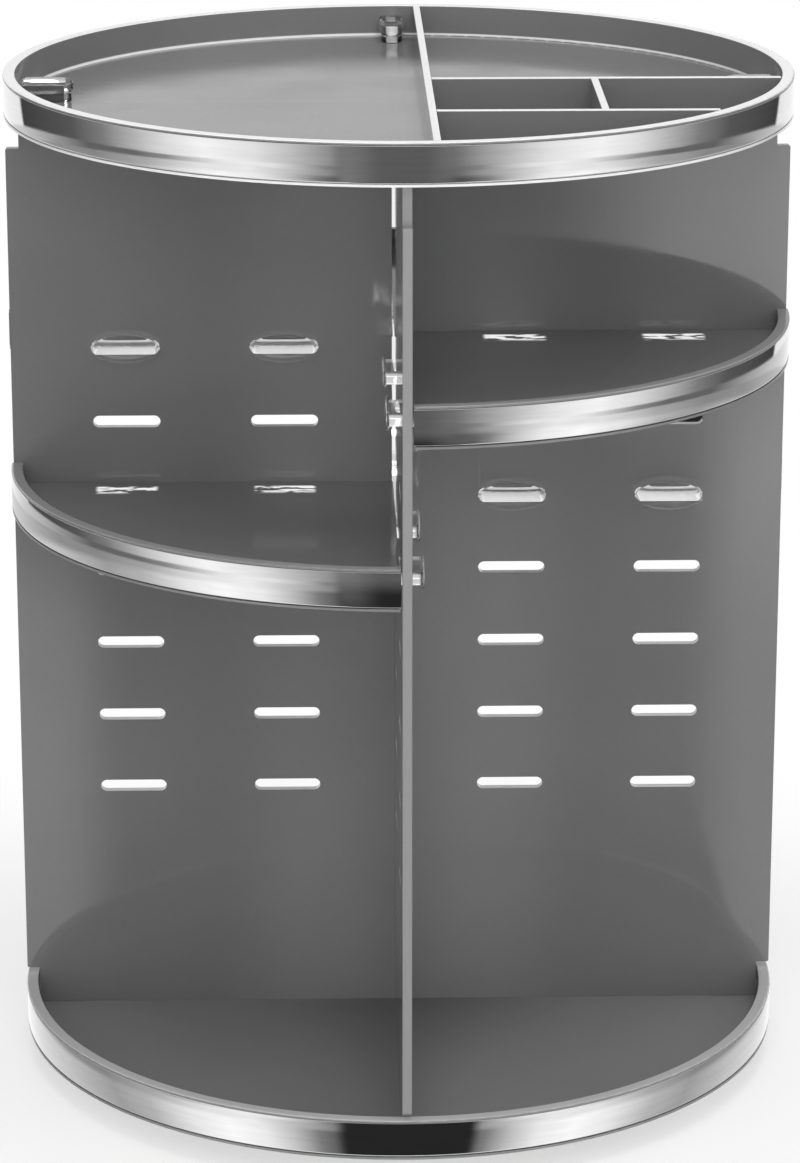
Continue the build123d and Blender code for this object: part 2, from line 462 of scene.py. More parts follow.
@dataclass(frozen=True)
class PaintedClipGlow:
    """Painted glow on a shelf's floor along the panel across the view, standing in for the bright
    slots and clips seen through the floor.

    Attributes:
        floor: height of the floor's upper face.
        strength: light that the brightest streaks give off.
        along: distances from a slot's middle at which a patch is full and at which it ends.
        near: distances from the panel's middle at which a patch begins and is full.
        far: distances from it at which a patch is still full and at which it ends.
        streaks: cycles a metre of the noise that breaks the patches up.
        streak_detail: octaves of it.
        squeeze: factors on the coordinates of that noise.
        gaps: levels of that noise up to which a patch is dark and from which it is lit.
    """

    floor: float
    strength: float = 0.8
    along: tuple[float, float] = (8.1 * MM, 9.7 * MM)
    near: tuple[float, float] = (6.0 * MM, 6.8 * MM)
    far: tuple[float, float] = (11.8 * MM, 15.0 * MM)
    streaks: float = 160.0
    streak_detail: float = 2.0
    squeeze: tuple[float, float, float] = (1.0, 3.0, 1.0)
    gaps: tuple[float, float] = (0.25, 0.6)

    def mask(self, graph: Graph, place: Place) -> Signal:
        """Finds the floor over the clips' tongues.

        Args:
            graph: the shelf's graph.
            place: the object coordinates.

        Returns:
            Up to the full strength there, in streaks, and 0 elsewhere.
        """
        away = abs(place.y)
        depth = away.step(*self.near) * away.step(*reversed(self.far))
        patch = Place.off_slot(abs(place.x)).step(*reversed(self.along))
        broken = graph.noise(place.vector, self.streaks, self.streak_detail, self.squeeze)
        return (patch * depth * place.above(self.floor) * broken.step(*self.gaps)
                * self.strength)


# the painted highlights, light and shade that are laid over the acrylic's colour
PaintedLight = PaintedLipLight | PaintedCornerLight | PaintedEdgeLight


@dataclass(frozen=True)
class SmokedAcrylic(Finish):
    """Smoke-grey acrylic, with painted highlights on its lips, rounds and edges and painted light
    near the axis.

    Attributes:
        body: grey of the faces, far from the axis.
        painted_axis_light: grey of the faces at the axis, lighter as painted light against the
            shade between the crossed plates.
        spread: distances from the axis at which the two greys hold.
        variation: share by which either grey varies.
        cloud_scale: cycles a metre of the clouds in it.
        fleck_scale: cycles a metre of the flecks in it.
        fleck_detail: octaves of those.
        fleck_share: share that the flecks have in the variation.
        clarity: share of the light let through.
        painted_lights: the painted highlights and painted light and shade on lips, rounds and
            edges.
        painted_clip_glow: painted glow over the clips, on a shelf.
    """

    body: Grey = 0.2
    painted_axis_light: Grey = 0.2
    spread: tuple[float, float] = (5.0 * MM, 62.0 * MM)
    variation: float = 0.05
    cloud_scale: float = 14.0
    fleck_scale: float = 900.0
    fleck_detail: float = 1.0
    fleck_share: float = 0.2
    clarity: float = 0.1
    painted_lights: tuple[PaintedLight, ...] = ()
    painted_clip_glow: PaintedClipGlow | None = None

    def base(self, graph: Graph, place: Place) -> bpy.types.NodeSocket:
        """Cloudy smoke with faint flecks, painted light near the axis, and painted highlights at
        the edges.

        Args:
            graph: the material's graph.
            place: the object coordinates.

        Returns:
            The colour.
        """
        cloud = graph.noise(place.vector, self.cloud_scale)
        fleck = graph.noise(place.vector, self.fleck_scale, self.fleck_detail)
        tone = between(cloud, fleck, self.fleck_share)
        painted_axis_light, body = (graph.blend(tone, grey * (1 - self.variation), grey * (1 + self.variation))
                       for grey in (self.painted_axis_light, self.body))
        colour = graph.blend(place.radius().step(*self.spread), painted_axis_light, body)
        for glow in self.painted_lights:
            colour = graph.blend(glow.mask(place), colour, glow.grey)
        return colour

    def constants(self) -> dict[str, Any]:
        """Acrylic's index, and a little light let through."""
        return {"IOR": ACRYLIC_INDEX, "Transmission Weight": self.clarity}

    def glow(self, graph: Graph, place: Place) -> dict[str, Any]:
        """Painted glow that comes out of a shelf's floor over the clips.

        Args:
            graph: the material's graph.
            place: the object coordinates.

        Returns:
            The shader's emission, on a shelf alone.
        """
        if self.painted_clip_glow is None:
            return {}
        return {"Emission Color": self.painted_clip_glow.mask(graph, place), "Emission Strength": 1.0}


@dataclass(frozen=True)
class Plain(Finish):
    """Plastic, rubber or metal with a cloudy grey.

    Attributes:
        grey: middle grey of the surface.
        spread: share by which the grey varies.
        tone_scale: cycles a metre of that variation.
        tone_detail: octaves of it.
        sockets: constants of the shader.
    """

    grey: Grey = 0.5
    spread: float = 0.08
    tone_scale: float = 60.0
    tone_detail: float = 4.0
    sockets: tuple[tuple[str, float], ...] = ()

    def base(self, graph: Graph, place: Place) -> bpy.types.NodeSocket:
        """Cloudy grey."""
        cloud = graph.noise(place.vector, self.tone_scale, self.tone_detail, self.stretch)
        return graph.blend(cloud, self.grey * (1 - self.spread),
                           min(1.0, self.grey * (1 + self.spread)))

    def constants(self) -> dict[str, Any]:
        """The constants given to this finish."""
        return dict(self.sockets)


@dataclass(frozen=True)
class ClearPlastic(Plain):
    """Clear plastic of the clips, with a painted glow in the round ends of their stems.

    Attributes:
        stem: distances from the panel's middle at which the stems' light is full and ends.
        ends: distances along a slot from its middle at which the light begins and is full.
        painted_stem_glow: brightness of the painted glow there.
    """

    stem: tuple[float, float] = (4.3 * MM, 4.5 * MM)
    ends: tuple[float, float] = (8.0 * MM, 9.4 * MM)
    painted_stem_glow: Grey = 0.25

    def glow(self, graph: Graph, place: Place) -> dict[str, Any]:
        """Painted glow that leaves the stems at the ends of the slots.

        Args:
            graph: the material's graph.
            place: the object coordinates.

        Returns:
            The shader's emission.
        """
        x, y = abs(place.x), abs(place.y)
        stem = x.math("MINIMUM", x, y).step(*reversed(self.stem))
        end = Place.off_slot(x.math("MAXIMUM", x, y)).step(*self.ends)
        return {"Emission Color": stem * end * self.painted_stem_glow, "Emission Strength": 1.0}


# ------------------------------------------------------------------ pieces

class Slot(Enum):
    """Material slots of the record."""

    ACRYLIC = "smoked_acrylic"
    SILVER = "silver_trim"
    CLEAR = "clear_plastic"


@dataclass(frozen=True)
class Quarter:
    """One quarter of the organiser.

    Attributes:
        name: its name in the nodes.
        turn: angle of its first side, anticlockwise from the right-hand side.
    """

    name: str
    turn: float

    @property
    def body(self) -> str:
        """Body that its shelf moves with."""
        return self.name + "_tray"


QUARTERS = tuple(Quarter(name, index * math.pi / 2) for index, name in enumerate(
    ("rear_right", "rear_left", "front_left", "front_right")))


def dress(node: str, material: bpy.types.Material) -> None:
    """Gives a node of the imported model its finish.

    Args:
        node: the node.
        material: its finish.
    """
    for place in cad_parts[node].material_slots:
        place.material = material
    log.info("dressed %s", node)


def add_object(name: str, data: bpy.types.ID) -> bpy.types.Object:
    """Puts a new object into the scene.

    Args:
        name: its name.
        data: its mesh, lamp or camera.

    Returns:
        The object.
    """
    item = bpy.data.objects.new(name, data)
    bpy.context.scene.collection.objects.link(item)
    return item


def finished_mesh(name: str, bm: bmesh.types.BMesh,
                  material: bpy.types.Material) -> bpy.types.Mesh:
    """Turns a modelled mesh into one with a finish.

    Args:
        name: its name.
        bm: the modelled mesh, which is freed.
        material: its finish.

    Returns:
        The mesh.
    """
    mesh = bpy.data.meshes.new(name)
    bm.to_mesh(mesh)
    bm.free()
    mesh.materials.append(material)
    return mesh


def make_piece(bm: bmesh.types.BMesh, node: str, body: str,
               material: bpy.types.Material, sharp: float = math.radians(30)) -> None:
    """Turns a finished mesh into the piece that stands for a node.

    Args:
        bm: the mesh, which is freed.
        node: the node it replaces; the piece's name is made from it.
        body: the body it rides on.
        material: its finish.
        sharp: edges that turn by more than this angle stay crisp.
    """
    mesh = finished_mesh(node + "_look", bm, material)
    for polygon in mesh.polygons:
        polygon.use_smooth = True
    mesh.set_sharp_from_angle(angle=sharp)
    piece = add_object(node + "_look", mesh)
    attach(piece, body)
    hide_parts(node)
    log.info("built %s with %d faces", piece.name, len(mesh.polygons))


@dataclass
class Bands:
    """Silver bands let into the rims, rounded along both outer edges.

    Attributes:
        outer_radius: outer radius of the trays' bands.
        overhang: how far a shelf's band stands out past that radius.
        thick: thickness of a band.
        lower_round: radius of the lower outer edge.
        upper_round: radius of the upper outer edge.
        round_steps: segments of either round.
        full_steps: segments of a full turn.
        side: distance of a shelf's sides from the axis planes.
    """

    outer_radius: float = 115.0 * MM
    overhang: float = 0.47 * MM
    thick: float = 0.8 * MM
    lower_round: float = 0.6 * MM
    upper_round: float = 0.2 * MM
    round_steps: int = 4
    full_steps: int = 360
    side: float = 1.7 * MM

    def _section(self, bm: bmesh.types.BMesh, node: str, radius: float) -> list[Any]:
        """Draws the band's rounded section where Y is 0.

        Args:
            bm: the mesh that the section goes into.
            node: the node whose height it takes.
            radius: outer radius of the band.

        Returns:
            The section's vertices and edges.
        """
        low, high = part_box(node)
        middle = (low.z + high.z) / 2
        place = Matrix.Translation((radius - self.thick / 2, 0, middle))
        upright = Matrix.Rotation(math.pi / 2, 4, "X")
        size = Matrix.Diagonal((self.thick, high.z - low.z, 1, 1))
        bmesh.ops.create_grid(bm, x_segments=1, y_segments=1, size=0.5,
                              matrix=place @ upright @ size)
        for sign, rounding in ((-1, self.lower_round), (1, self.upper_round)):
            outer = [v for v in bm.verts if v.co.x > radius - self.thick / 2
                     and (v.co.z - middle) * sign > 0]
            bmesh.ops.bevel(bm, geom=outer, offset=rounding, offset_type="OFFSET",
                            segments=self.round_steps, profile=ROUND_PROFILE, affect="VERTICES",
                            material=-1)
        bmesh.ops.delete(bm, geom=list(bm.faces), context="FACES_ONLY")
        return list(bm.verts) + list(bm.edges)

    def full(self, node: str, body: str, material: bpy.types.Material) -> None:
        """Builds a band all round a tray.

        Args:
            node: the band's node.
            body: the body it rides on.
            material: its finish.
        """
        bm = bmesh.new()
        section = self._section(bm, node, self.outer_radius)
        bmesh.ops.spin(bm, geom=section, cent=ORIGIN, axis=UP, angle=2 * math.pi,
                       steps=self.full_steps, use_merge=True)
        bmesh.ops.recalc_face_normals(bm, faces=bm.faces)
        make_piece(bm, node, body, material)

    def quarter(self, quarter: Quarter, material: bpy.types.Material) -> None:
        """Builds the band of a quarter shelf, closed at both ends.

        Args:
            quarter: the shelf's quarter.
            material: the band's finish.
        """
        node = quarter.name + "_shelf_band"
        radius = self.outer_radius + self.overhang
        start = math.asin(self.side / radius)
        bm = bmesh.new()
        section = self._section(bm, node, radius)
        bmesh.ops.rotate(bm, cent=ORIGIN, matrix=Matrix.Rotation(quarter.turn + start, 3, "Z"),
                         verts=bm.verts)
        bmesh.ops.spin(bm, geom=section, cent=ORIGIN, axis=UP, angle=math.pi / 2 - 2 * start,
                       steps=self.full_steps // 4)
        bmesh.ops.holes_fill(bm, edges=bm.edges, sides=0)
        bmesh.ops.recalc_face_normals(bm, faces=bm.faces)
        make_piece(bm, node, quarter.body, material)


@dataclass
class Clips:
    """Clear clips pushed through the panels' slots, four under each shelf.

    Attributes:
        slot_length: length of a slot with its round ends.
        slot_height: height of a slot.
        clear: gap between a clip and its slot.
        reach: length of the tongue past the panel.
        stem: length of the stem between the panel and the flange.
        head_length: length of the oval flange.
        head_height: height of the flange.
        head_thick: thickness of its rim.
        crown: how far its middle stands out past the rim.
        segments: segments of the flange and the stem.
        crown_rings: rings of the crown.
        crown_turn: how far round its quarter circle the crown's last ring lies.
        tip_round: radius of the tongue's end.
        tip_steps: segments of that round.
        sharp: edges of a clip that turn by more than this angle stay crisp.
    """

    slot_length: float = 20.0 * MM
    slot_height: float = 3.6 * MM
    clear: float = 0.15 * MM
    reach: float = 15.0 * MM
    stem: float = 3.1 * MM
    head_length: float = 20.6 * MM
    head_height: float = 8.6 * MM
    head_thick: float = 0.6 * MM
    crown: float = 0.5 * MM
    segments: int = 48
    crown_rings: int = 6
    crown_turn: float = math.radians(84)
    tip_round: float = 0.5 * MM
    tip_steps: int = 3
    sharp: float = math.radians(40)

    def _ring(self, bm: bmesh.types.BMesh, size: Vector, y: float) -> list[Any]:
        """Draws an upright oval ring.

        Args:
            bm: the clip's mesh.
            size: half sizes on X and Z; its Y is 1.
            y: depth of the ring.

        Returns:
            The ring's vertices.
        """
        made = bmesh.ops.create_circle(bm, segments=self.segments, radius=1.0)
        upright = Matrix.Rotation(math.pi / 2, 3, "X")
        half_step = Matrix.Rotation(math.pi / self.segments, 3, "Z")
        bmesh.ops.rotate(bm, cent=ORIGIN, matrix=upright @ half_step, verts=made["verts"])
        bmesh.ops.scale(bm, vec=size, verts=made["verts"])
        bmesh.ops.translate(bm, vec=(0, y, 0), verts=made["verts"])
        return made["verts"]

    @staticmethod
    def _edges(verts: list[Any]) -> list[Any]:
        """Finds the edges that join vertices.

        Args:
            verts: the vertices.

        Returns:
            Every edge with both ends among them.
        """
        wanted = set(verts)
        return list(dict.fromkeys(edge for vert in verts for edge in vert.link_edges
                                  if edge.other_vert(vert) in wanted))

    def _extend(self, bm: bmesh.types.BMesh, verts: list[Any], y: float,
                scale: float = 1.0) -> list[Any]:
        """Pulls a ring along Y and narrows it.

        Args:
            bm: the clip's mesh.
            verts: the ring.
            y: how far it moves.
            scale: what its width and height are multiplied by.

        Returns:
            The new ring.
        """
        pulled = bmesh.ops.extrude_edge_only(bm, edges=self._edges(verts))["geom"]
        ring = [item for item in pulled if isinstance(item, bmesh.types.BMVert)]
        bmesh.ops.scale(bm, vec=(scale, 1, scale), verts=ring)
        bmesh.ops.translate(bm, vec=(0, y, 0), verts=ring)
        return ring

    def _clip(self, bm: bmesh.types.BMesh, place: Matrix) -> None:
        """Models one clip, pointing along Y, and moves it to its slot.

        Args:
            bm: the mesh that it is added to.
            place: from the clip's own place to its slot.
        """
        known = set(bm.verts)
        back = -PANEL_THICK / 2 - self.stem
        head = self._ring(bm, Vector((self.head_length / 2, 1, self.head_height / 2)), back)
        half = self.slot_height / 2 - self.clear
        neck = self._ring(bm, Vector((half, 1, half)), back)
        shift = self.slot_length / 2 - self.slot_height / 2
        for side in (-1, 1):
            bmesh.ops.translate(bm, vec=(side * shift, 0, 0),
                                verts=[v for v in neck if v.co.x * side > 0])
        bmesh.ops.bridge_loops(bm, edges=self._edges(head) + self._edges(neck))
        tip = self._extend(bm, neck, self.stem + PANEL_THICK + self.reach)
        rim = self._edges(tip)
        bmesh.ops.edgeloop_fill(bm, edges=rim)
        bmesh.ops.bevel(bm, geom=rim, offset=self.tip_round, offset_type="OFFSET",
                        segments=self.tip_steps, profile=ROUND_PROFILE, affect="EDGES", material=-1)
        ring = self._extend(bm, head, -self.head_thick)
        width, depth = 1.0, 0.0
        for index in range(1, self.crown_rings + 1):
            angle = index / self.crown_rings * self.crown_turn
            ring = self._extend(bm, ring, depth - self.crown * math.sin(angle),
                                math.cos(angle) / width)
            width, depth = math.cos(angle), self.crown * math.sin(angle)
        bmesh.ops.edgeloop_fill(bm, edges=self._edges(ring))
        bmesh.ops.transform(bm, matrix=place, verts=[v for v in bm.verts if v not in known])

    def build(self, quarter: Quarter, material: bpy.types.Material) -> None:
        """Builds the four clips under one shelf.

        Args:
            quarter: the shelf's quarter.
            material: the clips' finish.
        """
        node = quarter.name + "_clips"
        low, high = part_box(node)
        bm = bmesh.new()
        for offset in SLOT_OFFSETS:
            across = Matrix.Translation((offset, 0, 0))
            along = Matrix.Translation((0, offset, 0)) @ Matrix.Rotation(-math.pi / 2, 4, "Z")
            for place in (across, along):
                self._clip(bm, Matrix.Translation((0, 0, (low.z + high.z) / 2))
                           @ Matrix.Rotation(quarter.turn, 4, "Z") @ place)
        bmesh.ops.recalc_face_normals(bm, faces=bm.faces)
        make_piece(bm, node, "carousel", material, self.sharp)


@dataclass
class Panels:
    """The two crossed panels, with the cut edges eased as by polishing.

    Attributes:
        ease: width of the eased edges.
        cut_angle: edges that turn by more than this angle are eased.
        flat_angle: faces that turn by less than this angle are joined.
        weld: vertices closer than this are merged.
        ease_steps: segments of the eased edges.
        sharp: edges that turn by more than this angle stay crisp.
    """

    ease: float = 0.2 * MM
    cut_angle: float = math.radians(40)
    flat_angle: float = math.radians(1)
    weld: float = 0.001 * MM
    ease_steps: int = 2
    sharp: float = math.radians(20)

    def build(self, node: str, material: bpy.types.Material) -> None:
        """Eases the edges of a merged copy of the panel.

        Args:
            node: the panel.
            material: its finish.
        """
        bm = bmesh.new()
        bm.from_mesh(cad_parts[node].data)
        bmesh.ops.remove_doubles(bm, verts=bm.verts, dist=self.weld)
        bmesh.ops.dissolve_limit(bm, angle_limit=self.flat_angle, verts=bm.verts, edges=bm.edges)
        cut = [edge for edge in bm.edges
               if len(edge.link_faces) == 2 and edge.calc_face_angle() > self.cut_angle]
        bmesh.ops.bevel(bm, geom=cut, offset=self.ease, offset_type="OFFSET",
                        segments=self.ease_steps, profile=ROUND_PROFILE, affect="EDGES",
                        clamp_overlap=True, material=-1)
        make_piece(bm, node, "carousel", material, self.sharp)


# ------------------------------------------------------------------ stage

def sine(degrees: float) -> float:
    """Height of a direction with the given elevation."""
    return math.sin(math.radians(degrees))


@dataclass(frozen=True)
class SoftBoxes:
    """One level of the studio that the gloss mirrors.

    Attributes:
        above: elevation in degrees above which the level before it shows.
        below: elevation below which this one does.
        stops: brightness by degrees from the front.
    """

    above: float
    below: float
    stops: tuple[tuple[float, Grey], ...]


STUDIO = (
    SoftBoxes(90, 90, ((0, 0.11), (14, 0.16), (28, 0.47), (42, 0.83), (58, 1.0), (70, 0.78),
                       (82, 0.48), (94, 0.22), (108, 0.1), (140, 0.05), (142, 0.85), (170, 1.0))),
    SoftBoxes(-12.3, -13.2, ((0, 0.11), (14, 0.14), (22, 0.25), (37, 0.84), (46, 0.93), (54, 0.86),
                             (71, 0.28), (82, 0.14), (102, 0.13), (128, 0.45), (150, 0.7),
                             (170, 1.0))),
    SoftBoxes(-15.1, -15.7, ((0, 0.05), (14, 0.11), (29, 0.47), (45, 0.92), (60, 0.84),
                             (79, 0.43), (100, 0.26), (121, 0.3), (154, 0.6), (170, 0.7))),
    SoftBoxes(-18, -21, ((0, 0.03), (16, 0.05), (25, 0.22), (33, 0.58), (42, 0.92), (54, 1.06),
                         (67, 0.87), (83, 0.49), (98, 0.37), (125, 0.6), (145, 0.77),
                         (165, 1.0))),
)


@dataclass(frozen=True)
class Studio:
    """The world: soft even light, and around it what the gloss mirrors.

    Attributes:
        ambient: strength of the even light.
        window_sides: angles from the front, in degrees, at which the front window has ended
            and at which it is full.
        window_top: heights of direction at which it has ended and at which it is full.
        window_low: brightness of its lower part.
        window_left: brightness of its upper part on the left.
        window_right: brightness of its upper part on the right.
        window_parts: elevations in degrees at which the lower part is left and the upper
            part is full.
        window_middle: sideways directions between which left turns to right.
        sky: brightness high up.
        sky_edge: heights of direction between which it comes in.
        ground: brightness far down.
        ground_edge: heights of direction between which it comes in.
    """

    ambient: float = 0.38
    window_sides: tuple[float, float] = (9.0, 7.0)
    window_top: tuple[float, float] = (0.0, -0.1)
    window_low: float = 1.4
    window_left: float = 0.1
    window_right: float = 2.4
    window_parts: tuple[float, float] = (-18.0, -15.0)
    window_middle: tuple[float, float] = (0.03, 0.06)
    sky: float = 0.6
    sky_edge: tuple[float, float] = (0.02, 0.35)
    ground: float = 0.8
    ground_edge: tuple[float, float] = (-0.6, -0.85)

    @staticmethod
    def _ramp(graph: Graph, turn: Signal, stops: Sequence[tuple[float, Grey]]) -> Signal:
        """Brightness by the angle from the front, from stops in degrees."""
        shares = [(angle / HALF_TURN, grey) for angle, grey in stops]
        return graph.signal("ShaderNodeValToRGB", {"stops": shares}, {"Fac": turn})

    def _mirrored(self, graph: Graph) -> Signal:
        """Works out what the gloss mirrors in each direction.

        Args:
            graph: the world's graph.

        Returns:
            The brightness.
        """
        direction = graph.node("ShaderNodeTexCoord").outputs["Generated"]
        parts = graph.node("ShaderNodeSeparateXYZ", None, {0: direction}).outputs
        x, y, z = (Signal(graph, socket) for socket in parts)
        turn = abs(x.math("ARCTAN2", x, -1.0 * y)) / math.pi
        mirrored = self._ramp(graph, turn, STUDIO[0].stops)
        for level in STUDIO[1:]:
            reach = z.step(sine(level.above), sine(level.below))
            mirrored = between(mirrored, self._ramp(graph, turn, level.stops), reach)
        outer, inner = self.window_sides
        front = turn.step(outer / HALF_TURN, inner / HALF_TURN) * z.step(*self.window_top)
        upper = between(self.window_left, self.window_right, x.step(*self.window_middle))
        lower_end, upper_start = self.window_parts
        window = between(self.window_low, upper, z.step(sine(lower_end), sine(upper_start)))
        mirrored = between(mirrored, window, front)
        mirrored = between(mirrored, self.sky, z.step(*self.sky_edge))
        return between(mirrored, self.ground, z.step(*self.ground_edge))

    def build(self) -> None:
        """Makes the world; the camera and clear pieces see it white."""
        world = bpy.data.worlds.new("studio")
        bpy.context.scene.world = world
        world.use_nodes = True
        graph = Graph(world.node_tree)
        mirrored = self._mirrored(graph)
        rays = graph.node("ShaderNodeLightPath").outputs
        camera, through, glossy = (Signal(graph, rays[name]) for name in (
            "Is Camera Ray", "Is Transmission Ray", "Is Glossy Ray"))
        strength = between(self.ambient, 1.0, camera.math("MAXIMUM", camera, through))
        strength = between(strength, mirrored, glossy)
        back = graph.node("ShaderNodeBackground", None, {"Color": WHITE, "Strength": strength})
        graph.node("ShaderNodeOutputWorld", None, {"Surface": back.outputs[0]})


def stage_mesh(name: str, bm: bmesh.types.BMesh,
               material: bpy.types.Material) -> bpy.types.Object:
    """Puts a mesh of the stage into the scene.

    Args:
        name: the object's name.
        bm: its mesh, which is freed.
        material: its material.

    Returns:
        The new object.
    """
    item = add_object(name, finished_mesh(name, bm, material))
    return item


@dataclass(frozen=True)
class Flag:
    """Dark card in front, which only the gloss mirrors.

    The flat panels mirror it, and the round bands look past its soft sides.

    Attributes:
        half_size: half of its side.
        distance: how far it stands in front of the axis.
        darkest: brightness of its lower middle.
        upper_light: what its upper part adds to that.
        upper_edge: heights between which the upper part's light comes in.
        side_light: what its sides add.
        side_edge: distances off the middle between which the sides' light comes in.
        side_height: heights between which it does.
        left_end: places at which its left side begins to fade and has ended.
        right_low_end: the same for its right side, low down.
        right_high_end: the same for its right side, high up.
        right_change: heights between which the low end gives way to the high one.
    """

    half_size: float = 300.0 * MM
    distance: float = 400.0 * MM
    darkest: float = 0.02
    upper_light: float = 0.09
    upper_edge: tuple[float, float] = (65.0 * MM, 140.0 * MM)
    side_light: float = 0.08
    side_edge: tuple[float, float] = (30.0 * MM, 100.0 * MM)
    side_height: tuple[float, float] = (-50.0 * MM, 80.0 * MM)
    left_end: tuple[float, float] = (-100.0 * MM, -130.0 * MM)
    right_low_end: tuple[float, float] = (120.0 * MM, 150.0 * MM)
    right_high_end: tuple[float, float] = (45.0 * MM, 125.0 * MM)
    right_change: tuple[float, float] = (60.0 * MM, 140.0 * MM)

    def _material(self) -> bpy.types.Material:
        """Makes the card's dark glow with its clear ends.

        Returns:
            The material.
        """
        material, graph, place = new_surface("dark_flag")
        aside = abs(place.x).step(*self.side_edge) * place.z.step(*self.side_height)
        light = (self.darkest + self.upper_light * place.z.step(*self.upper_edge)
                 + self.side_light * aside)
        glow = graph.node("ShaderNodeEmission", None, {"Strength": light})
        clear = graph.node("ShaderNodeBsdfTransparent")
        right = between(place.x.step(*self.right_low_end), place.x.step(*self.right_high_end),
                        place.z.step(*self.right_change))
        ended = right.math("MAXIMUM", right, place.x.step(*self.left_end))
        mix = graph.node("ShaderNodeMixShader", None,
                         {0: ended, 1: glow.outputs[0], 2: clear.outputs[0]})
        graph.node("ShaderNodeOutputMaterial", None, {"Surface": mix.outputs[0]})
        return material

    def build(self) -> None:
        """Stands the card up."""
        bm = bmesh.new()
        place = Matrix.Translation((0, -self.distance, 0))
        bmesh.ops.create_grid(bm, x_segments=1, y_segments=1, size=self.half_size,
                              matrix=place @ Matrix.Rotation(math.pi / 2, 4, "X"))
        flag = stage_mesh("flag", bm, self._material())
        flag.visible_camera = flag.visible_diffuse = flag.visible_transmission = False
        flag.visible_shadow = flag.visible_volume_scatter = False


@dataclass(frozen=True)
class Floor:
    """Pale matt floor that keeps the organiser's shadow and fades to white around it.

    Attributes:
        radius: radius of the floor.
        segments: segments of its edge.
        grey: its grey.
        variation: share by which the grey rises in places.
        cloud_scale: cycles a metre of that.
        white_near: share of plain white that the camera sees under the organiser.
        fade: distances from the axis between which that share rises to 1.
    """

    radius: float = 6.0
    segments: int = 96
    grey: Grey = 0.93
    variation: float = 0.02
    cloud_scale: float = 3.0
    white_near: float = 0.6
    fade: tuple[float, float] = (120.0 * MM, 300.0 * MM)

    def _material(self) -> bpy.types.Material:
        """Makes the floor's finish.

        Returns:
            The material.
        """
        material, graph, place = new_surface("pale_floor")
        cloud = graph.noise(place.vector, self.cloud_scale)
        colour = graph.blend(cloud, self.grey, self.grey * (1 + self.variation))
        matt = graph.node("ShaderNodeBsdfDiffuse", None, {"Color": colour})
        glow = graph.node("ShaderNodeEmission", None, {"Color": WHITE, "Strength": 1.0})
        white = between(self.white_near, 1.0, place.radius().step(*self.fade))
        camera = graph.signal("ShaderNodeLightPath", None, None, "Is Camera Ray")
        mix = graph.node("ShaderNodeMixShader", None,
                         {0: white * camera, 1: matt.outputs[0], 2: glow.outputs[0]})
        graph.node("ShaderNodeOutputMaterial", None, {"Surface": mix.outputs[0]})
        return material

    def build(self) -> None:
        """Lays the floor."""
        bm = bmesh.new()
        bmesh.ops.create_circle(bm, cap_ends=True, segments=self.segments, radius=self.radius)
        stage_mesh("floor", bm, self._material()).visible_glossy = False


@dataclass(frozen=True)
class Lamp:
    """Soft square lamp that faces the object and isn't mirrored.

    Attributes:
        name: its name.
        place: where it stands.
        size: its side.
        power: its power in watts.
    """

    name: str
    place: tuple[float, float, float]
    size: float
    power: float

    def build(self, target: Vector) -> None:
        """Sets the lamp up.

        Args:
            target: the point that it faces.
        """
        data = bpy.data.lights.new(self.name, "AREA")
        data.size = self.size
        data.energy = self.power
        lamp = add_object(self.name, data)
        lamp.location = self.place
        lamp.rotation_euler = (target - lamp.location).to_track_quat("-Z", "Y").to_euler()
        lamp.visible_glossy = False


LAMPS = (
    Lamp("lamp_above", (0.1, -0.2, 1.4), 0.9, 8.0),
    Lamp("lamp_left", (-1.2, -0.7, 0.7), 0.8, 2.0),
    Lamp("lamp_right", (1.2, -0.7, 0.7), 0.8, 2.0),
    Lamp("lamp_front", (0, -1.6, 0.25), 0.8, 7.0),
    Lamp("lamp_high", (0, -1.3, 1.0), 0.8, 6.0),
    Lamp("lamp_rear", (0, 1.6, 0.25), 0.8, 8.0),
)


@dataclass
class Stage:
    """Floor, light and camera.

    Attributes:
        focal_px: focal length in pixels of the photograph.
        image_height_px: height of the photograph.
        sensor: size of the camera's sensor, in its own millimetres.
        target: point that the camera and the lamps face.
        distance: distance of the camera from that point.
        pitch: angle by which it looks down.
        yaw: angle by which it stands left of the front.
    """

    focal_px: float = 4231.0
    image_height_px: float = 1163.0
    sensor: float = 36.0
    target: Vector = field(default_factory=lambda: Vector((0.45, 0, 145.7)) * MM)
    distance: float = 1278.7 * MM
    pitch: float = math.radians(16.95)
    yaw: float = math.radians(1.25)

    def camera(self) -> None:
        """Camera at the photograph's place."""
        data = bpy.data.cameras.new("camera")
        data.sensor_width = self.sensor
        data.lens = self.focal_px / self.image_height_px * data.sensor_width
        camera = add_object("camera", data)
        level = self.distance * math.cos(self.pitch)
        camera.location = self.target + Vector((-level * math.sin(self.yaw),
                                                -level * math.cos(self.yaw),
                                                self.distance * math.sin(self.pitch)))
        camera.rotation_euler = (math.pi / 2 - self.pitch, 0, -self.yaw)
        bpy.context.scene.camera = camera

    def build(self) -> None:
        """Makes the floor, the light and the camera."""
        Floor().build()
        Flag().build()
        Studio().build()
        for lamp in LAMPS:
            lamp.build(self.target)
        self.camera()
        bpy.context.scene.view_settings.view_transform = "Standard"


# ------------------------------------------------------------------ assembly

